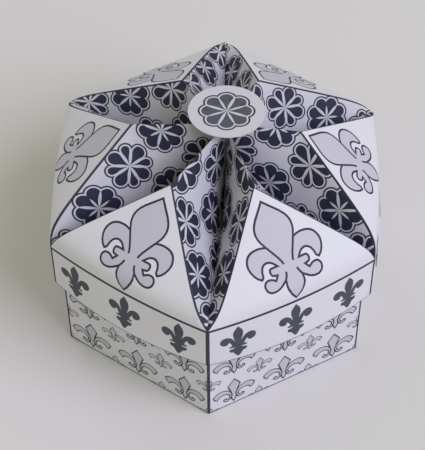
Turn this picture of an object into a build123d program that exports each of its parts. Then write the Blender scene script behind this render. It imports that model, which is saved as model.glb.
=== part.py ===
from build123d import *
import os
from math import cos, hypot, radians, sin, tan

# Hexagonal gift box of printed card: a tray, a lid with a pleated top, and a round cap glued on its peak.
# The origin is the middle of the tray's underside, +Z is up and a corner of the hexagon points to -Y.

# Card, the same for all three pieces
paper = 0.3

# Tray
tray_height = 46.1
tab_width = 8.0
tab_taper = 5.0

# Lid rim: its sides are straight at the fold and bulge outwards at the free edge
# The radius runs from the middle to a corner, so it is also the length of a side
lid_radius = 50.0
lid_gap = 2.1
seat_gap = 0.1
rim_drop = 16.5
rim_bow = 3.0

# Lid top: six triangular panels that lean inwards, each by its own angle, as folded by hand
panel_height = 30.2
panel_leans = (42.6, 46.0, 43.0, 41.5, 47.3, 44.8)

# Knee: the fold is a soft bend, so the foot of each panel stands almost upright before the panel leans inwards
# It has its own rise at each corner, from the front one on, and its ends stand away from the corners
knee_rises = (5.6, 5.4, 3.9, 1.6, 2.0, 3.9)
knee_lean = 10.0
knee_pinch = 4.0

# Hub: the pleats between the panels gather here, a little off the middle and above the highest peak of a panel
hub_x = 2.5
hub_y = -1.5
hub_rise = 3.3
hub_radius = 0.8

# Where the side of a pleat changes from its flat triangle to its twisted part, from corner to hub
waist_share = 0.5

# Where the twisted part has its creases, from peak to hub; behind the last but one, a pleat is pressed shut
crease_shares = (0.3, 0.6, 0.85, 1)

# Cap: glued on the tip of the hub, with its middle behind the hub; it falls to the back less than the ridges there
cap_radius = 10.25
cap_shift = 4.6
cap_fall_share = 0.66
glue_line = 0.05

# How far a cut runs past the face that it opens
overrun = 1.0

# Hexagon
sides = 6
sector = 360 / sides
half_sector = sector / 2
first_corner = -90
flat_share = cos(radians(half_sector))

# Worked out from the sizes above
fold_height = tray_height + seat_gap + paper
tray_radius = lid_radius - paper / flat_share - lid_gap
tray_corner = tray_radius - paper / flat_share
hub = Vector(hub_x, hub_y)
hub_height = panel_height * sin(radians(max(panel_leans))) + hub_rise


def polar(radius, angle, rise=0):
    """Point on the lid, at a rise above the fold between its rim and its top."""
    return Vector(radius * cos(radians(angle)), radius * sin(radians(angle)), fold_height + rise)


def in_plan(*points):
    """Points as seen from above, for a level sketch."""
    return [(point.X, point.Y) for point in points]


def corner_angle(side):
    """Direction of the corner where a side begins."""
    return first_corner + sector * side


def fold_outline(corner_radius, rise):
    """Hexagon with straight sides, as the rim is cut at the fold."""
    with BuildSketch(Plane.XY.offset(fold_height + rise)) as outline:
        RegularPolygon(corner_radius, sides, rotation=first_corner)
    return outline.sketch


def edge_outline(corner_radius, drop):
    """Hexagon with bulging sides, as the rim is cut at a drop below the fold."""
    bow = rim_bow * drop / rim_drop
    with BuildSketch(Plane.XY.offset(fold_height - drop)) as outline:
        with BuildLine():
            for side in range(sides):
                angle = corner_angle(side)
                start, end = polar(corner_radius, angle), polar(corner_radius, angle + sector)
                middle = polar(corner_radius * flat_share + bow, angle + half_sector)
                ThreePointArc(*in_plan(start, middle, end))
        make_face()
    return outline.sketch


def panel_peak(side):
    """Inner tip of a panel, where its two pleats part."""
    lean = radians(panel_leans[side])
    reach = lid_radius * flat_share - panel_height * cos(lean)
    return polar(reach, corner_angle(side) + half_sector, panel_height * sin(lean))


def ridge_end(side):
    """End of the ridge behind a panel, at the hub."""
    return hub + polar(hub_radius * flat_share, corner_angle(side) + half_sector, hub_height)


def ridge_fall(side):
    """How far the ridge behind a panel falls for each step towards the back."""
    way = panel_peak(side) - ridge_end(side)
    return -way.Z / way.Y


def flat_face(*corners):
    """Flat face through points in space."""
    return Face(Wire.make_polygon(corners))


def pleat_section(side, wall, share):
    """Left foot, right foot and top of a section through a pleat, at a share of the way from its peak to the hub.

    The section stands inside the lid's outer faces by a wall, measured square to them.
    """
    peak = panel_peak(side)
    top = peak + (ridge_end(side) - peak) * share
    rise = top.Z - fold_height
    half_width = (lid_radius * waist_share * (1 - share) + hub_radius * share) / 2
    slope = hypot(half_width, rise)
    feet = []
    for corner, turn in ((side, 1), (side + 1, -1)):
        start = polar(lid_radius, corner_angle(corner), -wall)
        valley = hub + polar(hub_radius, corner_angle(corner), -wall) - start
        across = valley.normalized().rotate(Axis.Z, -90) * turn
        feet.append(start + valley * (waist_share + (1 - waist_share) * share) + across * wall * slope / rise)
    return *feet, top - Vector(0, 0, wall * slope / half_width)


def panel_foot(side, wall, waist):
    """Left and right end of the foot of a panel, inside the lid's outer faces by a wall."""
    inwards = (polar(0, 0) - polar(lid_radius, corner_angle(side) + half_sector)).normalized()
    feet = []
    for corner, outer, inner in zip((side, side + 1), pleat_section(side, 0, 0), waist):
        start = polar(lid_radius, corner_angle(corner))
        valley = (outer - start).normalized()
        inset = inner - outer
        feet.append(start + inset + valley * ((wall - inset.dot(inwards)) / valley.dot(inwards)))
    return feet


def panel_knee(side, wall):
    """Left and right end of the bend above the foot of a panel, inside the lid's outer faces by a wall."""
    half_width = lid_radius / 2 - knee_pinch - wall / flat_share
    knees = []
    for corner, end in ((side, -half_width), (side + 1, half_width)):
        rise = knee_rises[corner % sides]
        reach = lid_radius * flat_share - rise * tan(radians(knee_lean)) - wall
        along = polar(end, corner_angle(side) + half_sector + 90) - polar(0, 0)
        knees.append(polar(reach, corner_angle(side) + half_sector, rise - wall) + along)
    return knees


def pleat_cones(side, wall, shares):
    """Bases and tips of the cones that fill the form under one panel and its ridge, with sections at some shares."""
    near = pleat_section(side, wall, 0)
    left_foot, right_foot = panel_foot(side, wall, near)
    left_knee, right_knee = panel_knee(side, wall)
    cones = [
        (flat_face(left_foot, right_foot, near[1], near[0]), near[2]),
        (flat_face(left_foot, right_foot, right_knee, left_knee), near[2]),
    ]
    for share in shares:
        far = pleat_section(side, wall, share)
        cones.append((flat_face(near[0], near[1], far[1], far[0]), far[2]))
        cones.append((flat_face(*near), far[2]))
        near = far
    return cones


# Tray: floor and six walls in one sheet, with a glue tab behind one end of each wall
with BuildPart() as tray:
    with BuildSketch():
        RegularPolygon(tray_radius, sides, rotation=first_corner)
    extrude(amount=tray_height)
    offset(amount=-paper, openings=tray.faces().sort_by(Axis.Z)[-1], kind=Kind.INTERSECTION)
    for side in range(sides):
        tab_start = polar(tray_corner, corner_angle(side + 1))
        along_wall = polar(tray_corner, corner_angle(side)) - tab_start
        tab_plane = Plane(
            origin=(tab_start.X, tab_start.Y, 0), x_dir=along_wall, z_dir=along_wall.rotate(Axis.Z, -90)
        )
        with BuildSketch(tab_plane):
            with BuildLine():
                Polyline(
                    (-paper / 2, paper),
                    (tab_width, paper + tab_taper),
                    (tab_width, tray_height - tab_taper),
                    (-paper / 2, tray_height),
                    close=True,
                )
            make_face()
        extrude(amount=paper)

# Lid: rim, panels and pleats in one sheet, open below
with BuildPart() as lid:
    loft([edge_outline(lid_radius, rim_drop), fold_outline(lid_radius, 0)], ruled=True)
    for side in range(sides):
        for base, tip in pleat_cones(side, 0, crease_shares):
            loft([base, Vertex(*tip)], ruled=True)
    with BuildSketch(Plane.XY.offset(fold_height)):
        with Locations((hub_x, hub_y)):
            RegularPolygon(hub_radius, sides, rotation=first_corner)
    extrude(amount=hub_height)
    inner_corner = lid_radius - paper / flat_share
    loft(
        [edge_outline(inner_corner, rim_drop + overrun), fold_outline(inner_corner, -paper)],
        ruled=True,
        mode=Mode.SUBTRACT,
    )
    for side in range(sides):
        for base, tip in pleat_cones(side, paper, crease_shares[:-1]):
            loft([base, Vertex(*tip)], ruled=True, mode=Mode.SUBTRACT)

# Cap: a leaning disc on the back corner of the hub
back_corner = sides // 2
hub_back = hub + polar(hub_radius, corner_angle(back_corner), hub_height)
cap_fall = cap_fall_share * min(ridge_fall(side) for side in (back_corner - 1, back_corner))
cap_plane = Plane(origin=hub_back, x_dir=(1, 0, 0), z_dir=(0, cap_fall, 1))
with BuildPart() as cap:
    with BuildSketch(cap_plane.offset(glue_line)):
        with Locations((0, cap_shift)):
            Circle(cap_radius)
    extrude(amount=paper)

os.makedirs("parts", exist_ok=True)
for name, piece in (("tray", tray), ("lid", lid), ("cap", cap)):
    piece.part.label = name
    export_step(piece.part, f"parts/{name}.step")
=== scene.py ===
"""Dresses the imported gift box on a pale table: a printed tray, a lid with a pleated top and a round cap."""

from __future__ import annotations

import logging
from dataclasses import dataclass
from enum import Enum, IntEnum
from math import asin, cos, hypot, pi, radians, sin
from typing import Any, Callable, Sequence, Union

import bpy
from mathutils import Matrix, Vector

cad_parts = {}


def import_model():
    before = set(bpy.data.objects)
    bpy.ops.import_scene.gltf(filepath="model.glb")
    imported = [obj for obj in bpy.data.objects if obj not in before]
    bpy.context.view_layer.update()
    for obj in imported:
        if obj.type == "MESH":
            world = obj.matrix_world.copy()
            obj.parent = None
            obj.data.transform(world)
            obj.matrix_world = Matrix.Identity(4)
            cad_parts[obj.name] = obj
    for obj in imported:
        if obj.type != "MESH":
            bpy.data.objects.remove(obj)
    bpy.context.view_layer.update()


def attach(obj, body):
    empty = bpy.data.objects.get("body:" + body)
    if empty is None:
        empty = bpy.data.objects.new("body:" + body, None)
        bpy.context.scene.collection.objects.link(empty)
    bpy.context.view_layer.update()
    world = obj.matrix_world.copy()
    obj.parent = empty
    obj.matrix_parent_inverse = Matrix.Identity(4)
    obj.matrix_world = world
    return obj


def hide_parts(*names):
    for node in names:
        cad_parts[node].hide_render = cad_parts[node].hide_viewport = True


LOG = logging.getLogger("gift_box")
MM = 0.001
SIDES = 6
SECTOR = 2 * pi / SIDES
FIRST_CORNER = -pi / 2
FLAT_SHARE = cos(SECTOR / 2)
LILIES = 3
CREASE_ANGLE = radians(28)
WELD = 0.00002
TINY = 1e-9
PRINT_MAP = "print"
ORNAMENT_MAP = "ornament"

Point = tuple[float, float]
PenPoints = tuple[tuple[float, ...], ...]
Colour = tuple[float, float, float, float]


def colour(red: int, green: int, blue: int) -> Colour:
    """Linear colour of a screen colour with channels from 0 to 255."""
    shares = [channel / 255 for channel in (red, green, blue)]
    linear = [s / 12.92 if s <= 0.04045 else ((s + 0.055) / 1.055) ** 2.4 for s in shares]
    return (*linear, 1.0)


class Value:
    """A number at each point of a surface; arithmetic on it adds Math nodes to its shader."""

    def __init__(self, shader: Shader, socket: bpy.types.NodeSocket) -> None:
        """Wraps an output socket of a shader."""
        self.shader = shader
        self.socket = socket

    def __add__(self, other: Number) -> Value:
        """Sum."""
        return self.shader.math("ADD", self, other)

    __radd__ = __add__

    def __sub__(self, other: Number) -> Value:
        """Difference."""
        return self.shader.math("SUBTRACT", self, other)

    def __rsub__(self, other: Number) -> Value:
        """Difference from a number."""
        return self.shader.math("SUBTRACT", other, self)

    def __mul__(self, other: Number) -> Value:
        """Product."""
        return self.shader.math("MULTIPLY", self, other)

    __rmul__ = __mul__

    def __truediv__(self, other: Number) -> Value:
        """Quotient."""
        return self.shader.math("DIVIDE", self, other)

    def __rtruediv__(self, other: Number) -> Value:
        """Quotient of a number."""
        return self.shader.math("DIVIDE", other, self)

    def __lt__(self, other: Number) -> Value:
        """1 where this is less, else 0."""
        return self.shader.math("LESS_THAN", self, other)

    def __gt__(self, other: Number) -> Value:
        """1 where this is greater, else 0."""
        return self.shader.math("GREATER_THAN", self, other)

    def __or__(self, other: Number) -> Value:
        """The greater of two, which joins two masks."""
        return self.shader.math("MAXIMUM", self, other)

    def __and__(self, other: Number) -> Value:
        """The lesser of two, which overlaps two masks."""
        return self.shader.math("MINIMUM", self, other)

    def __abs__(self) -> Value:
        """Size without its sign."""
        return self.shader.math("ABSOLUTE", self)


Number = Union[Value, float]


class Shader:
    """The node tree of one finish."""

    def __init__(self, name: str) -> None:
        """Starts a material with one surface node.

        Args:
            name: The material's name.
        """
        self.material = bpy.data.materials.new(name)
        self.material.use_nodes = True
        self.tree = self.material.node_tree
        self.surface = self.tree.nodes["Principled BSDF"]

    def node(
        self, kind: str, settings: dict[str, Any] | None = None, inputs: dict[Any, Any] | None = None
    ) -> bpy.types.Node:
        """Adds any node.

        Args:
            kind: The node's type.
            settings: Its own settings, set first.
            inputs: Values or links of its sockets, by name or number.

        Returns:
            The new node.
        """
        node = self.tree.nodes.new(kind)
        for name, value in (settings or {}).items():
            setattr(node, name, value)
        for name, value in (inputs or {}).items():
            self.feed(node.inputs[name], value)
        return node

    def feed(self, socket: bpy.types.NodeSocket, value: Any) -> None:
        """Links a value or socket into a socket, or sets a constant on it."""
        if isinstance(value, Value):
            value = value.socket
        if isinstance(value, bpy.types.NodeSocket):
            self.tree.links.new(value, socket)
        else:
            socket.default_value = value

    def math(self, operation: str, *values: Number) -> Value:
        """Adds one Math node.

        Args:
            operation: The node's operation.
            values: Its operands.

        Returns:
            Its result.
        """
        node = self.node("ShaderNodeMath", {"operation": operation}, dict(enumerate(values)))
        return Value(self, node.outputs[0])

    def flat_place(self, layer: str = PRINT_MAP) -> tuple[Value, Value]:
        """Place on the flat sheet, across and up, in millimetres."""
        place = self.node("ShaderNodeUVMap", {"uv_map": layer})
        parts = self.node("ShaderNodeSeparateXYZ", inputs={0: place.outputs[0]})
        return Value(self, parts.outputs[0]), Value(self, parts.outputs[1])

    def noise(self, scale: float, detail: float = 2.0) -> Value:
        """Noise from 0 to 1 over the piece's own space."""
        place = self.node("ShaderNodeTexCoord")
        inputs = {"Vector": place.outputs["Object"], "Scale": scale, "Detail": detail}
        return Value(self, self.node("ShaderNodeTexNoise", inputs=inputs).outputs[0])

    def ramp(self, value: Value, low: float, high: float) -> Value:
        """Smooth step from 0 at a low value to 1 at a high one."""
        settings = {"interpolation_type": "SMOOTHSTEP"}
        node = self.node("ShaderNodeMapRange", settings, {"Value": value, "From Min": low, "From Max": high})
        return Value(self, node.outputs[0])

    def paint(self, mask: Number, under: Any, over: Any) -> bpy.types.NodeSocket:
        """Colour over another colour, where a mask is 1."""
        settings = {"data_type": "RGBA"}
        return self.node("ShaderNodeMix", settings, {0: mask, 6: under, 7: over}).outputs[2]


def spline(points: Sequence[tuple[float, ...]], steps: int = 8) -> list[Point]:
    """Pen line through points.

    Args:
        points: Places in millimetres; one with a third number is a sharp corner.
        steps: How finely the curve between two points is drawn.

    Returns:
        The places along the line.
    """
    line: list[Point] = [points[0][:2]]
    for i in range(len(points) - 1):
        start, end = points[i], points[i + 1]
        before = start if i == 0 or len(start) > 2 else points[i - 1]
        after = end if i + 2 >= len(points) or len(end) > 2 else points[i + 2]
        for step in range(1, steps + 1):
            t = step / steps
            place = []
            for a, b, c, d in zip(before[:2], start[:2], end[:2], after[:2]):
                square, cube = 2 * a - 5 * b + 4 * c - d, 3 * b - a - 3 * c + d
                place.append(0.5 * (2 * b + (c - a) * t + square * t * t + cube * t ** 3))
            line.append((place[0], place[1]))
    return line


def thinned(line: list[Point], tolerance: float) -> list[Point]:
    """The fewest places of a line that stay within a tolerance of it."""
    (ax, ay), (bx, by) = line[0], line[-1]
    length = hypot(bx - ax, by - ay) or TINY
    gaps = [abs((bx - ax) * (y - ay) - (by - ay) * (x - ax)) / length for x, y in line]
    widest = max(range(len(line)), key=gaps.__getitem__)
    if gaps[widest] <= tolerance or len(line) < 3:
        return [line[0], line[-1]]
    return thinned(line[: widest + 1], tolerance)[:-1] + thinned(line[widest:], tolerance)


def shifted(line: list[Point], distance: float, sharpest: float = 0.45) -> list[Point]:
    """A line moved to its left by a distance.

    Args:
        line: The line; an end on the mirror axis stays on it.
        distance: How far it moves, in millimetres.
        sharpest: Keeps sharp corners from running far out, as the least cosine that counts.

    Returns:
        The moved line.
    """
    moved = []
    for i, (x, y) in enumerate(line):
        normals = []
        for j in (i - 1, i):
            if 0 <= j < len(line) - 1:
                dx, dy = line[j + 1][0] - line[j][0], line[j + 1][1] - line[j][1]
                size = hypot(dx, dy) or TINY
                normals.append((-dy / size, dx / size))
        if abs(x) < 1e-6 and i in (0, len(line) - 1):
            normals.append((-normals[0][0], normals[0][1]))
        nx, ny = sum(n[0] for n in normals), sum(n[1] for n in normals)
        size = hypot(nx, ny) or TINY
        nx, ny = nx / size, ny / size
        reach = distance / max(nx * normals[0][0] + ny * normals[0][1], sharpest)
        moved.append((x + nx * reach, y + ny * reach))
    return moved


def inside(shader: Shader, x: Value, y: Value, line: list[Point], closed: bool) -> Value:
    """Mask of what lies inside an outline, by counting the edges to the right of each point.

    Args:
        shader: The shader that gets the nodes.
        x: Place across, without its sign for a mirrored outline.
        y: Place up.
        line: The outline, or its right half from top to foot.
        closed: False for a right half, which the mirror axis closes.

    Returns:
        1 inside and 0 outside.
    """
    count: Number = 0.0
    ends = list(zip(line, line[1:] + line[:1] if closed else line[1:]))
    below = shader.math("LESS_THAN", y, line[0][1])
    for (ax, ay), (bx, by) in ends:
        next_below = shader.math("LESS_THAN", y, by)
        if abs(by - ay) > 1e-6:
            slope = (bx - ax) / (by - ay)
            edge = shader.math("MULTIPLY_ADD", y, slope, ax - ay * slope)
            count = shader.math("MULTIPLY_ADD", below - next_below, x < edge, count)
        below = next_below
    return abs(count) > 0.5


@dataclass(frozen=True)
class Motif:
    """A mirrored ornament: the right half of its outline from top to foot, and pen lines inside it."""

    outline: PenPoints
    pen_lines: tuple[PenPoints, ...] = ()
    pen: float = 0.5
    tolerance: float = 0.05

    def half(self) -> list[Point]:
        """Right half of the outline as a fine line."""
        return spline(self.outline)

    def solid(self, shader: Shader, x: Value, y: Value) -> Value:
        """Mask of the whole ornament."""
        return inside(shader, abs(x), y, thinned(self.half(), self.tolerance), False)

    def drawn(self, shader: Shader, x: Value, y: Value) -> tuple[Value, Value]:
        """Masks of the ornament with its outline, and of its pen lines alone.

        Args:
            shader: The shader that gets the nodes.
            x: Place across from the mirror axis.
            y: Place up.

        Returns:
            The mask of the whole and the mask of the ink.
        """
        half_x = abs(x)
        half = self.half()
        outer = inside(shader, half_x, y, thinned(shifted(half, self.pen / 2), self.tolerance), False)
        inner = inside(shader, half_x, y, thinned(shifted(half, -self.pen / 2), self.tolerance), False)
        ink = outer - inner
        for points in self.pen_lines:
            line = thinned(spline(points), self.tolerance)
            stroke = shifted(line, self.pen / 2) + shifted(line, -self.pen / 2)[::-1]
            ink = ink | inside(shader, half_x, y, stroke, True)
        return outer, ink


PANEL_LILY = Motif(
    outline=(
        (0, 26.9, 1), (1.3, 25.4), (3.1, 23.5), (4.5, 21.5), (5.0, 19.6), (4.7, 17.8), (3.8, 16.0, 1),
        (5.0, 16.35), (6.5, 16.4), (8.3, 15.9), (9.6, 14.7), (10.2, 12.9), (9.9, 11.2), (9.1, 9.8),
        (8.1, 9.0, 1),
        (7.5, 9.6), (7.3, 10.8), (6.7, 11.95), (5.6, 12.6), (4.3, 12.3), (3.5, 11.5), (3.0, 10.95, 1),
        (4.3, 10.95), (5.2, 10.75), (5.45, 9.95), (5.1, 9.1), (3.9, 8.85, 1), (4.75, 7.7, 1),
        (5.9, 8.35), (7.2, 8.3), (7.95, 7.3), (7.7, 5.9), (6.6, 5.15), (5.2, 5.2), (3.9, 5.75), (2.3, 7.0, 1),
        (2.45, 5.6), (2.2, 4.3), (1.3, 2.5), (0, 0.9, 1),
    ),
    pen_lines=(
        ((3.8, 16.0), (3.0, 14.6), (2.1, 12.9), (1.55, 11.6), (1.35, 10.8)),
        ((2.3, 7.0), (1.8, 7.9), (1.5, 8.9)),
    ),
    pen=0.56,
)

RIM_LILY = Motif(
    outline=(
        (0, 13.7, 1), (0.6, 12.8), (1.2, 11.7), (1.45, 10.4), (1.3, 9.0), (1.0, 7.8), (0.85, 7.0, 1),
        (1.3, 8.1), (2.0, 9.1), (2.9, 9.7), (3.9, 9.75), (4.75, 9.1), (5.05, 8.0), (4.7, 6.9), (3.8, 6.2),
        (3.0, 6.3), (2.65, 6.95), (2.5, 7.3, 1), (1.95, 6.3), (1.65, 5.3, 1),
        (2.3, 5.15), (2.55, 4.7), (2.1, 4.4), (0.75, 4.3, 1), (1.5, 3.85), (2.2, 3.85), (2.5, 3.2),
        (2.15, 2.45), (1.5, 2.2), (1.1, 1.7), (0.65, 0.7), (0, 0, 1),
    ),
)

TRAY_LILY = Motif(
    outline=(
        (0, 11.7, 1), (1.0, 10.1), (1.9, 8.6, 1), (1.5, 7.2), (1.05, 5.9), (0.95, 5.2, 1),
        (1.6, 6.3), (2.8, 7.2), (4.2, 7.55), (5.5, 7.0), (6.4, 5.9), (6.25, 4.9), (5.4, 3.45, 1),
        (4.9, 4.4), (3.8, 5.2), (2.6, 5.15), (1.7, 4.5), (1.3, 3.6), (1.45, 2.7), (2.0, 2.1), (2.4, 2.3),
        (2.5, 2.8, 1),
        (2.9, 2.75), (3.2, 2.3), (3.0, 1.6), (2.3, 1.15), (1.5, 1.3), (1.0, 2.0), (0.72, 2.9, 1),
        (0.78, 1.9), (0.45, 0.8), (0, 0, 1),
    ),
    pen_lines=(((0.95, 5.2), (0.65, 4.2), (0.6, 3.0)),),
    pen=0.4,
    tolerance=0.04,
)


@dataclass(frozen=True)
class Petal:
    """The round end of a petal: how far its centre is from the flower's middle, and its radius."""

    centre: float
    size: float


@dataclass(frozen=True)
class Ray:
    """A ray between two petals: its angle in degrees, its length and half its width."""

    angle: float
    length: float
    width: float


@dataclass(frozen=True)
class Rosette:
    """A flower of eight petals in a scalloped line, with pale rays between the petals, for a radius of 1."""

    even_petal: Petal
    odd_petal: Petal
    rays: tuple[Ray, ...]
    line: float = 0.065
    band: float = 0.125

    def drawn(
        self, shader: Shader, x: Value, y: Value, radius: float, turn: float = 0.0
    ) -> tuple[Value, Value]:
        """Masks of the flower.

        Args:
            shader: The shader that gets the nodes.
            x: Place across from its middle.
            y: Place up from its middle.
            radius: Its radius in millimetres.
            turn: How far it is turned, in radians.

        Returns:
            The mask of the scalloped line and the mask of the petals.
        """
        reach = shader.math("SQRT", x * x + y * y) / radius
        angle = shader.math("ARCTAN2", y, x) - turn
        fold = shader.math("PINGPONG", angle, pi / 4)
        whole: Number = 0.0
        in_line: Number = 0.0
        petals: Number = 0.0
        for petal, way in ((self.even_petal, fold), (self.odd_petal, pi / 4 - fold)):
            out = reach * shader.math("COSINE", way)
            across = reach * shader.math("SINE", way)
            gap = shader.math("SQRT", (out - petal.centre) * (out - petal.centre) + across * across)
            whole = self.drop(out, across, gap, petal.centre, petal.size) | whole
            in_line = self.drop(out, across, gap, petal.centre, petal.size - self.line) | in_line
            petals = self.drop(out, across, gap, petal.centre, petal.size - self.band) | petals
        quarter = shader.math("WRAP", angle, pi / 2, 0.0)
        for ray in self.rays:
            way = quarter - radians(ray.angle)
            out = reach * shader.math("COSINE", way) / ray.length
            across = abs(reach * shader.math("SINE", way))
            swell = out * (1.0 - out) * 4 * ray.width
            petals = petals - ((across < swell) & petals)
        return whole - in_line, petals

    @staticmethod
    def drop(out: Value, across: Value, gap: Value, centre: float, size: float) -> Value:
        """Mask of a drop that widens from the flower's middle to a round end.

        Args:
            out: Place along the drop's axis, from the flower's middle.
            across: Place across it, without its sign.
            gap: Distance from the centre of the round end.
            centre: Distance of that centre from the flower's middle.
            size: Radius of the round end.

        Returns:
            1 inside and 0 outside.
        """
        slope = asin(size / centre)
        beside = across * cos(slope) < out * sin(slope)
        before = out * cos(slope) + across * sin(slope) < centre * cos(slope)
        return (gap < size) | (beside & before)


class Flower(Enum):
    """The two flowers of the pleats and the one of the cap."""

    EVEN = Rosette(Petal(0.62, 0.38), Petal(0.62, 0.38), (Ray(22.5, 0.76, 0.06), Ray(67.5, 0.52, 0.045)))
    UNEVEN = Rosette(Petal(0.68, 0.28), Petal(0.64, 0.36), (Ray(18.0, 0.74, 0.06), Ray(72.0, 0.74, 0.06)))
    CAP = Rosette(Petal(0.62, 0.38), Petal(0.62, 0.38), (Ray(22.5, 0.84, 0.055), Ray(67.5, 0.76, 0.042)))


@dataclass(frozen=True)
class PrintedCard:
    """White card with dark ink, and the colours that the print uses."""

    paper: Colour = colour(226, 223, 235)
    ink: Colour = colour(52, 54, 76)
    brown_ink: Colour = colour(62, 60, 62)
    tint: Colour = colour(201, 197, 213)
    solid_ink: Colour = colour(74, 80, 94)
    petal_ink: Colour = colour(40, 42, 68)
    roughness: float = 0.62
    specular: float = 0.3
    grain_scale: float = 2600.0
    grain_detail: float = 3.0
    grain_strength: float = 0.06
    grain_depth: float = 0.0001
    patch_scale: float = 420.0
    patch_range: Point = (0.45, 0.75)
    patch_share: float = 0.5

    def start(self, name: str) -> tuple[Shader, Value, Value]:
        """Starts a finish: its shader and the place on the flat sheet."""
        shader = Shader(name)
        across, up = shader.flat_place()
        return shader, across, up

    def finish(self, shader: Shader, base: Any) -> bpy.types.Material:
        """Sets the surface of the card.

        Args:
            shader: The finish's shader.
            base: Its colour, as a constant or a socket.

        Returns:
            The finished material.
        """
        grain = shader.noise(self.grain_scale, self.grain_detail)
        relief = {"Strength": self.grain_strength, "Distance": self.grain_depth, "Height": grain}
        bump = shader.node("ShaderNodeBump", inputs=relief)
        shader.feed(shader.surface.inputs["Base Color"], base)
        shader.feed(shader.surface.inputs["Roughness"], self.roughness)
        shader.feed(shader.surface.inputs["Specular IOR Level"], self.specular)
        shader.feed(shader.surface.inputs["Normal"], bump.outputs[0])
        return shader.material

    def patchy(self, shader: Shader, dark: Colour) -> bpy.types.NodeSocket:
        """Ink that shifts a little towards brown, as a home printer lays it."""
        mottle = shader.ramp(shader.noise(self.patch_scale), *self.patch_range)
        return shader.paint(mottle * self.patch_share, dark, self.brown_ink)

    def bare(self) -> bpy.types.Material:
        """Unprinted card, for the insides and cut edges."""
        return self.finish(Shader("bare card"), self.paper)


def slant_gap(across: Value, up: Value, half_width: float, height: float) -> Value:
    """Distance from the two slanted edges of a panel, in millimetres, below 0 inside the panel."""
    length = hypot(half_width, height)
    return (abs(across) * height + up * half_width - half_width * height) / length


@dataclass(frozen=True)
class LidPrint(PrintedCard):
    """Finishes of the lid: solid lilies on the rim, outlined ones on the panels and flowers on the pleats."""

    # Paper of the pleats, greyer than the panels' paper: painted shade for the deep pleats.
    shaded_pleat_paper: Colour = colour(204, 201, 214)
    half_side: float = 25.0
    rim_drop: float = 16.5
    panel_height: float = 31.0
    rim_lily_foot: float = -15.3
    free_line: float = 0.22
    corner_line: float = 0.55
    fold_line: float = 0.75
    fold_overlap: float = 0.2
    crease_line: float = 0.5
    crease_overlap: float = 0.12
    flower_step: Point = (9.2, 11.0)
    flower_radius: float = 7.0

    def rim(self) -> bpy.types.Material:
        """Solid lilies on each side, between lines along the fold, the corners and the free edge."""
        shader, across, up = self.start("lid rim print")
        half = self.half_side / LILIES
        local = shader.math("WRAP", across, half, -half)
        lily = RIM_LILY.solid(shader, local, up - self.rim_lily_foot)
        lines = (up > -self.fold_line) | (up < self.free_line - self.rim_drop)
        lines = lines | (abs(across) > self.half_side - self.corner_line)
        base = shader.paint(lily, self.paper, self.patchy(shader, self.solid_ink))
        return self.finish(shader, shader.paint(lines, base, self.patchy(shader, self.ink)))

    def panel(self) -> bpy.types.Material:
        """One large tinted lily with a drawn outline."""
        shader, across, up = self.start("lid panel print")
        whole, ink = PANEL_LILY.drawn(shader, *shader.flat_place(ORNAMENT_MAP))
        crease = slant_gap(across, up, self.half_side, self.panel_height) > -self.crease_overlap
        edge = crease | (up < self.fold_overlap)
        base = shader.paint(whole, self.paper, self.tint)
        return self.finish(shader, shader.paint(ink | edge, base, self.patchy(shader, self.ink)))

    def pleat(self) -> bpy.types.Material:
        """Flowers in staggered rows on paper darkened as painted shade, and a line along the panels."""
        shader, across, up = self.start("lid pleat print")
        ink: Number = slant_gap(across, up, self.half_side, self.panel_height) < self.crease_line
        petals: Number = 0.0
        from_flower, above_flower = shader.flat_place(ORNAMENT_MAP)
        step, step_up = self.flower_step
        for flower, steps in ((Flower.EVEN, 0), (Flower.UNEVEN, 1)):
            x = shader.math("WRAP", from_flower - steps * step, step, -step)
            y = shader.math("WRAP", above_flower - steps * step_up, step_up, -step_up)
            line, inner = flower.value.drawn(shader, x, y, self.flower_radius)
            ink = ink | line
            petals = inner | petals
        # The pleats' paper is the panels' card darkened as painted shade.
        base = shader.paint(petals, self.shaded_pleat_paper, self.patchy(shader, self.petal_ink))
        return self.finish(shader, shader.paint(ink, base, self.patchy(shader, self.ink)))


@dataclass(frozen=True)
class TrayPrint(PrintedCard):
    """Finish of the tray: large and small lilies in staggered rows, and lines at the corners and the foot."""

    half_side: float = 23.78
    pitch_up: float = 15.0
    first_foot: float = 1.3
    small_size: float = 0.6
    lily_middle: float = 5.9
    corner_line: float = 0.5
    foot_line: float = 0.4

    def walls(self) -> bpy.types.Material:
        """Outlined lilies; a small one takes over where it is nearer than a large one."""
        shader, across, up = self.start("tray print")
        half, half_up = self.half_side / LILIES, self.pitch_up / 2
        rise = up - self.first_foot - self.lily_middle
        large_x = shader.math("WRAP", across, half, -half)
        large_y = shader.math("WRAP", rise, half_up, -half_up)
        small_x = shader.math("WRAP", across - half, half, -half)
        small_y = shader.math("WRAP", rise - half_up, half_up, -half_up)
        small = (abs(large_x) / (2 * half) + abs(large_y) / (2 * half_up)) > 0.5
        x = large_x + (small_x / self.small_size - large_x) * small
        y = large_y + (small_y / self.small_size - large_y) * small
        whole, ink = TRAY_LILY.drawn(shader, x, y + self.lily_middle)
        lines = (abs(across) > self.half_side - self.corner_line) | (up < self.foot_line)
        base = shader.paint(whole, self.paper, self.tint)
        return self.finish(shader, shader.paint(ink | lines, base, self.patchy(shader, self.ink)))


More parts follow.
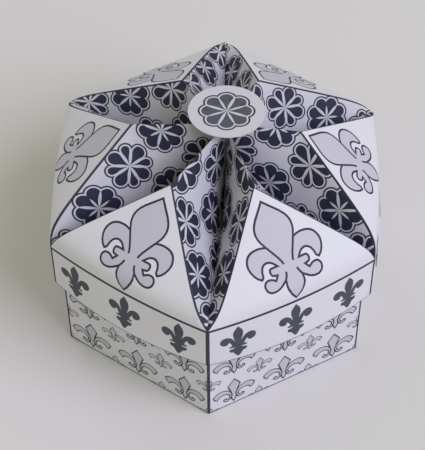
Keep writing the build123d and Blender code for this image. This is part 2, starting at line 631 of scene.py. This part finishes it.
@dataclass(frozen=True)
class CapPrint(PrintedCard):
    """Finish of the cap: one flower on card drawn greyer than the lid's, as painted shade."""

    # Cap card greyer than the lid's paper: painted shade, also on its bare underside and edge.
    paper: Colour = colour(210, 207, 218)
    petal_ink: Colour = colour(88, 90, 102)
    flower_radius: float = 7.65
    turn: float = radians(-42.5)

    def disc(self) -> bpy.types.Material:
        """The flower in the middle of the disc."""
        shader, across, up = self.start("cap print")
        line, petals = Flower.CAP.value.drawn(shader, across, up, self.flower_radius, self.turn)
        # The cap's paper here is its greyer card, the painted shade.
        base = shader.paint(petals, self.paper, self.patchy(shader, self.petal_ink))
        return self.finish(shader, shader.paint(line, base, self.patchy(shader, self.ink)))


def deselect() -> None:
    """Leaves object mode and clears the selection, which holds the CAD nodes after loading."""
    if bpy.context.object and bpy.context.object.mode != "OBJECT":
        bpy.ops.object.mode_set(mode="OBJECT")
    bpy.ops.object.select_all(action="DESELECT")


def activate(*objects: bpy.types.Object) -> None:
    """Selects objects and makes the first one active."""
    deselect()
    for item in objects:
        item.select_set(True)
    bpy.context.view_layer.objects.active = objects[0]


def polar(radius: float, angle: float, height: float) -> Vector:
    """Point at a radius, an angle and a height, in millimetres."""
    return Vector((radius * cos(angle), radius * sin(angle), height))


def corner_angle(corner: float) -> float:
    """Direction of a corner of the box; halves stand for the middles of its sides."""
    return FIRST_CORNER + SECTOR * corner


class LidFace(IntEnum):
    """Material slots of the lid."""

    RIM = 0
    PANEL = 1
    PLEAT = 2
    BARE = 3


class CardFace(IntEnum):
    """Material slots of the tray and the cap."""

    PRINTED = 0
    BARE = 1


class PanelEnd(Enum):
    """The end of a panel that a pleat's side belongs to."""

    LEFT = -1
    RIGHT = 1


def print_map(mesh: bpy.types.Mesh) -> bpy.types.MeshUVLoopLayer:
    """A new map for the flat places of a mesh, in place of its primitive's own."""
    for layer in list(mesh.uv_layers):
        mesh.uv_layers.remove(layer)
    return mesh.uv_layers.new(name=PRINT_MAP)


Fold = Callable[[float, float], tuple[Vector, Point, Point]]


def folded_patch(columns: int, rows: int, slot: int, fold: Fold) -> bpy.types.Object:
    """A flat patch of the sheet, folded to its place.

    Args:
        columns: Number of faces across.
        rows: Number of faces up.
        slot: Material slot of its faces.
        fold: Gives the place in space, on the flat sheet and from its ornament for shares across and up.

    Returns:
        The patch, with its flat places in its UV maps.
    """
    deselect()
    bpy.ops.mesh.primitive_grid_add(x_subdivisions=columns, y_subdivisions=rows, size=1, calc_uvs=False)
    patch = bpy.context.object
    mesh = patch.data
    flat, ornament = [], []
    for vertex in mesh.vertices:
        place, on_sheet, from_ornament = fold(vertex.co.x + 0.5, vertex.co.y + 0.5)
        vertex.co = place * MM
        flat.append(on_sheet)
        ornament.append(from_ornament)
    for name, places in ((PRINT_MAP, flat), (ORNAMENT_MAP, ornament)):
        layer = mesh.uv_layers.new(name=name)
        for loop in mesh.loops:
            layer.data[loop.index].uv = places[loop.vertex_index]
    for face in mesh.polygons:
        face.material_index = slot
    return patch


def joined(
    name: str, patches: list[bpy.types.Object], finishes: list[bpy.types.Material]
) -> bpy.types.Object:
    """Patches merged along their folds into one sheet.

    Args:
        name: The sheet's name.
        patches: Its patches.
        finishes: Its material slots.

    Returns:
        The sheet, with its faces outwards.
    """
    for patch in patches:
        for finish in finishes:
            patch.data.materials.append(finish)
    activate(*patches)
    bpy.ops.object.join()
    sheet = bpy.context.object
    sheet.name = name
    sheet.data.name = name
    bpy.ops.object.mode_set(mode="EDIT")
    bpy.ops.mesh.select_all(action="SELECT")
    bpy.ops.mesh.remove_doubles(threshold=WELD)
    bpy.ops.mesh.normals_make_consistent(inside=False)
    bpy.ops.object.mode_set(mode="OBJECT")
    return sheet


def give_card(sheet: bpy.types.Object, thickness: float, bare_slot: int, even: bool = False) -> None:
    """Gives a sheet its thickness, inwards, with bare card on the inside and along its cut edges.

    Args:
        sheet: The sheet.
        thickness: Thickness of the card in millimetres.
        bare_slot: Number of its bare material slot.
        even: Whether the thickness is kept at the folds too, for a sheet without sharp pleats.
    """
    activate(sheet)
    card = sheet.modifiers.new("card", "SOLIDIFY")
    card.thickness = thickness * MM
    card.offset = -1
    card.use_even_offset = even
    card.material_offset = bare_slot
    card.material_offset_rim = bare_slot
    bpy.ops.object.modifier_apply(modifier=card.name)
    bpy.ops.object.shade_smooth_by_angle(angle=CREASE_ANGLE)


def bent(start: Vector, first: Vector, second: Vector, end: Vector, steps: int = 48) -> list[Vector]:
    """Places along a smooth curve.

    Args:
        start: Its first place.
        first: The place that it leaves towards.
        second: The place that it comes in from.
        end: Its last place.
        steps: How finely it is drawn.

    Returns:
        The places, in order.
    """
    line = []
    for step in range(steps + 1):
        t = step / steps
        rest = 1 - t
        middle = first * (3 * rest * rest * t) + second * (3 * rest * t * t)
        line.append(start * rest ** 3 + middle + end * t ** 3)
    return line


def along(line: Sequence[Vector], share: float) -> Vector:
    """Place at a share of the length of a line."""
    lengths = [(b - a).length for a, b in zip(line, line[1:])]
    want = share * sum(lengths)
    for start, end, length in zip(line, line[1:], lengths):
        if want <= length:
            return start.lerp(end, want / length if length > TINY else 0.0)
        want -= length
    return line[-1].copy()


@dataclass(frozen=True)
class Knee:
    """How far the soft bend at a corner of the lid rises, leans inwards and stands away from the corner."""

    rise: float
    inset: float
    pinch: float


@dataclass
class Lid:
    """The lid: a strip of card folded to a rim, six domed panels and six pleats that gather at a hub."""

    radius: float = 50.0
    fold_height: float = 46.5
    rim_drop: float = 16.5
    fold_bows: tuple[float, ...] = (1.8, 1.2, 0.0, 0.0, 1.2, 1.5)
    rim_bow: float = 2.98
    panel_height: float = 30.2
    panel_leans: tuple[float, ...] = (42.6, 46.0, 43.0, 41.5, 47.3, 44.8)
    knees: tuple[Knee, ...] = (
        Knee(5.6, 0.6, 4.6), Knee(7.2, 0.0, 2.6), Knee(3.9, 0.7, 4.0),
        Knee(1.7, 0.3, 4.0), Knee(2.3, 0.4, 3.0), Knee(6.6, 0.0, 2.6),
    )
    valley_rise: float = 3.5
    valley_turn: float = 6.0
    valley_dip: float = 0.7
    hub: Point = (2.5, -1.5)
    hub_rise: float = 3.3
    hub_radius: float = 0.8
    mean_ridge: float = 21.55
    roundness: float = 1.75
    card: float = 0.3
    columns: int = 24
    rim_rows: int = 6
    panel_rows: int = 24
    ridge_rows: int = 14
    pleat_columns: int = 18
    lily_shifts: tuple[float, ...] = (0.3, 1.4, 0.3, 0.3, 0.3, 0.3)
    first_flowers: tuple[Point, ...] = (
        (7.0, 15.0), (7.3, 15.8), (4.5, 16.6), (11.5, 18.4), (4.6, 16.9), (6.9, 14.2)
    )
    print: LidPrint = LidPrint()

    @property
    def hub_height(self) -> float:
        """Height of the hub above the fold."""
        return self.panel_height * sin(radians(max(self.panel_leans))) + self.hub_rise

    def corner(self, corner: int) -> Vector:
        """Corner of the fold between rim and top."""
        return polar(self.radius, corner_angle(corner), self.fold_height)

    def peak(self, side: int) -> Vector:
        """Inner tip of a panel."""
        lean = radians(self.panel_leans[side])
        reach = self.radius * FLAT_SHARE - self.panel_height * cos(lean)
        return polar(reach, corner_angle(side + 0.5), self.fold_height + self.panel_height * sin(lean))

    def ridge_end(self, side: int) -> Vector:
        """End of the ridge behind a panel, at the hub."""
        height = self.fold_height + self.hub_height
        return polar(self.hub_radius * FLAT_SHARE, corner_angle(side + 0.5), height) + Vector((*self.hub, 0))

    def rim_point(self, side: int, across: float, drop: float) -> Vector:
        """Point on the bulging rim, at a share across a side and a drop below the fold."""
        start, end = self.corner(side), self.corner(side + 1)
        fold_bow = self.fold_bows[side]
        bow = fold_bow + (self.rim_bow - fold_bow) * drop / self.rim_drop
        outwards = polar(4 * bow * across * (1 - across), corner_angle(side + 0.5), -drop)
        return start.lerp(end, across) + outwards

    def rise(self, side: int, across: float) -> list[Vector]:
        """Line up a panel from the soft bend at its fold to its peak.

        Args:
            side: The panel.
            across: Share across its foot; 0 and 1 give its creases.

        Returns:
            The places along the line.
        """
        start = self.rim_point(side, across, 0)
        left, right = self.knees[side], self.knees[(side + 1) % SIDES]
        side_way = (self.corner(side + 1) - self.corner(side)).normalized()
        left_bend = polar(-left.inset, corner_angle(side + 0.5), left.rise) + side_way * left.pinch
        right_bend = polar(-right.inset, corner_angle(side + 0.5), right.rise) - side_way * right.pinch
        knee = start + left_bend.lerp(right_bend, across)
        return bent(start, knee, knee, self.peak(side))

    def valley(self, corner: int) -> list[Vector]:
        """Line from a corner along the bottom of a pleat to the foot of the hub."""
        start = self.corner(corner)
        end = polar(self.hub_radius, corner_angle(corner), self.fold_height) + Vector((*self.hub, 0))
        lift = Vector((0, 0, self.valley_rise))
        turned = start + lift * self.valley_dip + (end - start).normalized() * self.valley_turn
        return bent(start, start + lift, turned, end)

    def rim(self, side: int) -> bpy.types.Object:
        """One side of the rim."""

        def fold(across: float, up: float) -> tuple[Vector, Point, Point]:
            """Places at shares across and up."""
            drop = self.rim_drop * (1 - up)
            flat = ((across - 0.5) * self.radius, -drop)
            return self.rim_point(side, across, drop), flat, flat

        return folded_patch(self.columns, self.rim_rows, LidFace.RIM, fold)

    def panel(self, side: int) -> bpy.types.Object:
        """One triangular panel."""
        lines = [self.rise(side, column / self.columns) for column in range(self.columns + 1)]
        height = self.print.panel_height

        def fold(across: float, up: float) -> tuple[Vector, Point, Point]:
            """Places at shares across and up."""
            flat = ((across - 0.5) * self.radius * (1 - up), height * up)
            from_lily = (flat[0], flat[1] - self.lily_shifts[side])
            return along(lines[round(across * self.columns)], up), flat, from_lily

        return folded_patch(self.columns, self.panel_rows, LidFace.PANEL, fold)

    def pleat_rows(self, side: int, end: PanelEnd) -> list[tuple[list[Vector], Point]]:
        """Rows of a pleat's side, from the corner to the hub.

        Args:
            side: The panel that the pleat's side belongs to.
            end: The end of that panel.

        Returns:
            For each row, its line from the valley to the crease or ridge, and the flat place of that end.
        """
        right = end is PanelEnd.RIGHT
        valley = self.valley(side + 1 if right else side)
        crease = self.rise(side, 1.0 if right else 0.0)
        peak, ridge_end = self.peak(side), self.ridge_end(side)
        height = self.print.panel_height
        ridge = (ridge_end - peak).length
        rows = []
        for row in range(self.panel_rows + self.ridge_rows + 1):
            share = min(row / self.panel_rows, 1.0)
            back = max(row - self.panel_rows, 0) / self.ridge_rows
            edge = peak.lerp(ridge_end, back) if back else along(crease, share)
            up = height * share + ridge * back
            foot = along(valley, (height * share + self.mean_ridge * back) / (height + self.mean_ridge))
            rows.append((self.swell(foot, edge), (self.radius / 2 * (1 - share), up)))
        return rows

    def swell(self, valley: Vector, edge: Vector, steps: int = 24) -> list[Vector]:
        """Row of a pleat that swells upwards between its valley and its edge."""
        span = edge - valley
        line = []
        for step in range(steps + 1):
            angle = pi / 2 * step / steps
            out, rise = 1 - max(cos(angle), 0.0) ** self.roundness, sin(angle) ** self.roundness
            line.append(valley + Vector((span.x * out, span.y * out, span.z * rise)))
        return line

    def pleat(self, side: int, end: PanelEnd) -> bpy.types.Object:
        """One side of a pleat, from its valley to the panel's edge and the ridge."""
        rows = self.pleat_rows(side, end)
        half = self.radius / 2
        flower_across, flower_up = self.first_flowers[side]

        def fold(across: float, up: float) -> tuple[Vector, Point, Point]:
            """Places at shares across and up; the ornament's is measured from the corner."""
            line, (edge_flat, up_flat) = rows[round(up * (len(rows) - 1))]
            from_corner = (half - edge_flat) * across
            flat = (end.value * (half - from_corner), up_flat)
            return along(line, across), flat, (from_corner - flower_across, up_flat - flower_up)

        return folded_patch(self.pleat_columns, len(rows) - 1, LidFace.PLEAT, fold)

    def build(self) -> bpy.types.Object:
        """Folds the strip, closes it round the hub and gives it its thickness.

        Returns:
            The finished lid.
        """
        patches = []
        for side in range(SIDES):
            patches += [self.rim(side), self.panel(side), *(self.pleat(side, end) for end in PanelEnd)]
        finishes = [self.print.rim(), self.print.panel(), self.print.pleat(), self.print.bare()]
        lid = joined("printed_lid", patches, finishes)
        give_card(lid, self.card, LidFace.BARE)
        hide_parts("lid")
        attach(lid, "lid")
        return lid


@dataclass
class Tray:
    """The tray: a hexagonal floor with six walls, and a glue tab behind one end of each wall."""

    radius: float = 47.5536
    height: float = 46.1
    card: float = 0.3
    tab_width: float = 8.0
    tab_taper: float = 5.0
    tab_start: float = 0.1
    tab_clearance: float = 0.2
    print: TrayPrint = TrayPrint()

    def shell(self) -> bpy.types.Object:
        """Floor and walls, printed outside."""
        deselect()
        height = self.height * MM
        bpy.ops.mesh.primitive_cylinder_add(
            vertices=SIDES, radius=self.radius * MM, depth=height, location=(0, 0, height / 2)
        )
        tray = bpy.context.object
        tray.name = "printed_tray"
        bpy.ops.object.transform_apply(location=True, rotation=True, scale=True)
        bpy.ops.object.mode_set(mode="EDIT")
        bpy.ops.mesh.select_all(action="DESELECT")
        bpy.ops.object.mode_set(mode="OBJECT")
        for face in tray.data.polygons:
            face.select = face.normal.z > 0.5
        bpy.ops.object.mode_set(mode="EDIT")
        bpy.ops.mesh.delete(type="FACE")
        bpy.ops.object.mode_set(mode="OBJECT")
        for finish in (self.print.walls(), self.print.bare()):
            tray.data.materials.append(finish)
        self.lay_print(tray.data)
        give_card(tray, self.card, CardFace.BARE, even=True)
        return tray

    def lay_print(self, mesh: bpy.types.Mesh) -> None:
        """Gives each wall its flat place, and leaves the floor bare."""
        flat = print_map(mesh)
        for face in mesh.polygons:
            face.material_index = CardFace.BARE if face.normal.z < -0.5 else CardFace.PRINTED
            side_way = Vector((-face.normal.y, face.normal.x, 0))
            for loop in face.loop_indices:
                place = mesh.vertices[mesh.loops[loop].vertex_index].co / MM
                flat.data[loop].uv = (place.dot(side_way), place.z)

    def tab(self) -> bpy.types.Object:
        """Glue tab behind the end of the first wall."""
        inner = self.radius - self.card / FLAT_SHARE
        start = polar(inner, corner_angle(1), 0)
        side_way = (polar(inner, corner_angle(0), 0) - start).normalized()
        inwards = -polar(1, corner_angle(0.5), 0)
        deselect()
        bpy.ops.mesh.primitive_cube_add(size=1)
        tab = bpy.context.object
        for vertex in tab.data.vertices:
            across, depth, up = (share + 0.5 for share in vertex.co)
            low = self.card + self.tab_taper * across
            high = self.height - self.tab_clearance - self.tab_taper * across
            from_corner = self.tab_start + self.tab_width * across
            place = start + side_way * from_corner + inwards * (self.card * depth)
            vertex.co = (place + Vector((0, 0, low + (high - low) * up))) * MM
        print_map(tab.data)
        for face in tab.data.polygons:
            face.material_index = CardFace.BARE
        bpy.ops.object.mode_set(mode="EDIT")
        bpy.ops.mesh.select_all(action="SELECT")
        bpy.ops.mesh.normals_make_consistent(inside=False)
        bpy.ops.object.mode_set(mode="OBJECT")
        return tab

    def tabs(self) -> list[bpy.types.Object]:
        """The tab and its copies behind the other walls."""
        tabs = [self.tab()]
        for side in range(1, SIDES):
            copy = tabs[0].copy()
            copy.data = tabs[0].data.copy()
            copy.matrix_world = Matrix.Rotation(SECTOR * side, 4, "Z")
            bpy.context.collection.objects.link(copy)
            tabs.append(copy)
        return tabs

    def build(self) -> bpy.types.Object:
        """Folds the tray and sets its tabs.

        Returns:
            The finished tray.
        """
        tray = self.shell()
        activate(tray, *self.tabs())
        bpy.ops.object.join()
        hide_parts("tray")
        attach(tray, "tray")
        return tray


@dataclass
class Cap:
    """The cap: a round disc of card, glued on the tip of the hub, with its back edge low."""

    lid: Lid
    radius: float = 10.25
    shift: float = 3.9
    fall_share: float = 0.585
    glue_line: float = 0.05
    corners: int = 120
    print: CapPrint = CapPrint()

    def plane(self) -> Matrix:
        """Where the disc lies: its middle and its directions, in metres."""
        hub_x, hub_y = self.lid.hub
        hub_back = Vector((hub_x, hub_y + self.lid.hub_radius, self.lid.fold_height + self.lid.hub_height))
        across = Vector((1, 0, 0))
        falls = []
        for side in (SIDES // 2 - 1, SIDES // 2):
            way = self.lid.peak(side) - self.lid.ridge_end(side)
            falls.append(-way.z / way.y)
        normal = Vector((0, self.fall_share * min(falls), 1)).normalized()
        up = normal.cross(across)
        middle = hub_back + up * self.shift + normal * (self.glue_line + self.lid.card / 2)
        turn = Matrix((across, up, normal)).transposed().to_4x4()
        return Matrix.Translation(middle * MM) @ turn

    def build(self) -> bpy.types.Object:
        """Cuts the disc, prints it and lays it on the hub.

        Returns:
            The finished cap.
        """
        deselect()
        bpy.ops.mesh.primitive_cylinder_add(
            vertices=self.corners, radius=self.radius * MM, depth=self.lid.card * MM
        )
        cap = bpy.context.object
        cap.name = "printed_cap"
        mesh = cap.data
        for finish in (self.print.disc(), self.print.bare()):
            mesh.materials.append(finish)
        flat = print_map(mesh)
        for face in mesh.polygons:
            face.material_index = CardFace.PRINTED if face.normal.z > 0.5 else CardFace.BARE
            for loop in face.loop_indices:
                flat.data[loop].uv = mesh.vertices[mesh.loops[loop].vertex_index].co.xy / MM
        cap.matrix_world = self.plane()
        bpy.ops.object.transform_apply(location=True, rotation=True, scale=True)
        bpy.ops.object.shade_smooth_by_angle(angle=CREASE_ANGLE)
        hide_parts("cap")
        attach(cap, "lid")
        return cap


@dataclass(frozen=True)
class TableTop:
    """Finish of the plain pale table."""

    base: Colour = colour(221, 217, 218)
    roughness: float = 0.85
    specular: float = 0.2

    def top(self) -> bpy.types.Material:
        """One plain colour."""
        shader = Shader("table top")
        shader.feed(shader.surface.inputs["Base Color"], self.base)
        shader.feed(shader.surface.inputs["Roughness"], self.roughness)
        shader.feed(shader.surface.inputs["Specular IOR Level"], self.specular)
        return shader.material


@dataclass(frozen=True)
class Lamp:
    """A square soft light that faces the box: place and side in metres, power in watts, and colour."""

    name: str
    place: tuple[float, float, float]
    power: float
    tint: Colour
    size: float = 0.8

    def hang(self) -> None:
        """Adds the light to the scene."""
        deselect()
        bpy.ops.object.light_add(type="AREA", location=self.place)
        lamp = bpy.context.object
        lamp.name = self.name
        lamp.rotation_euler = Vector(self.place).to_track_quat("Z", "Y").to_euler()
        lamp.data.shape = "SQUARE"
        lamp.data.size = self.size
        lamp.data.energy = self.power
        lamp.data.color = self.tint[:3]


@dataclass
class Studio:
    """The pale table, the soft light and the camera, which stands where the photograph was taken."""

    table_top: TableTop = TableTop()
    table_size: float = 6.0
    room_colour: Colour = colour(248, 255, 207)
    room_strength: float = 0.422
    lamps: tuple[Lamp, ...] = (
        Lamp("window", (0.75, -0.45, 1.0), 12.7, colour(228, 227, 255)),
        Lamp("back window", (-0.7, 0.8, 0.75), 3.2, colour(214, 202, 255)),
    )
    azimuth: float = radians(3.045)
    elevation: float = radians(53.949)
    roll: float = radians(-0.298)
    distance: float = 465.883
    target: tuple[float, float, float] = (-0.823, -7.444, 35.0)
    focus_pixels: float = 1676.276
    picture_width: float = 425.0
    sensor: float = 36.0
    nearest: float = 0.01

    def table(self) -> bpy.types.Object:
        """Plain table under the box."""
        deselect()
        bpy.ops.mesh.primitive_plane_add(size=self.table_size)
        table = bpy.context.object
        table.name = "table"
        table.data.materials.append(self.table_top.top())
        return table

    def light(self) -> None:
        """Soft cool light from the upper right and a little from behind, in a warm pale room."""
        world = bpy.data.worlds.new("room")
        bpy.context.scene.world = world
        world.use_nodes = True
        room = world.node_tree.nodes["Background"]
        room.inputs["Color"].default_value = self.room_colour
        room.inputs["Strength"].default_value = self.room_strength
        for lamp in self.lamps:
            lamp.hang()

    def camera(self) -> bpy.types.Object:
        """Camera at the photograph's place."""
        level = cos(self.elevation)
        back = Vector((sin(self.azimuth) * level, -cos(self.azimuth) * level, sin(self.elevation)))
        right = Vector((cos(self.azimuth), sin(self.azimuth), 0))
        up = back.cross(right)
        turned_right = right * cos(self.roll) + up * sin(self.roll)
        turned_up = up * cos(self.roll) - right * sin(self.roll)
        deselect()
        bpy.ops.object.camera_add()
        camera = bpy.context.object
        turn = Matrix((turned_right, turned_up, back)).transposed().to_4x4()
        camera.matrix_world = Matrix.Translation((Vector(self.target) + back * self.distance) * MM) @ turn
        camera.data.sensor_fit = "HORIZONTAL"
        camera.data.sensor_width = self.sensor
        camera.data.lens = self.focus_pixels * self.sensor / self.picture_width
        camera.data.clip_start = self.nearest
        bpy.context.scene.camera = camera
        return camera


def main() -> None:
    """Builds the box piece by piece, then the table, light and camera."""
    logging.basicConfig(level=logging.INFO, format="%(message)s")
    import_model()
    bpy.context.scene.view_settings.view_transform = "Standard"
    lid = Lid()
    for piece in (Tray().build(), lid.build(), Cap(lid).build()):
        LOG.info("built %s with %d faces", piece.name, len(piece.data.polygons))
    studio = Studio()
    studio.table()
    studio.light()
    studio.camera()
    deselect()


if __name__ == "__main__":
    main()
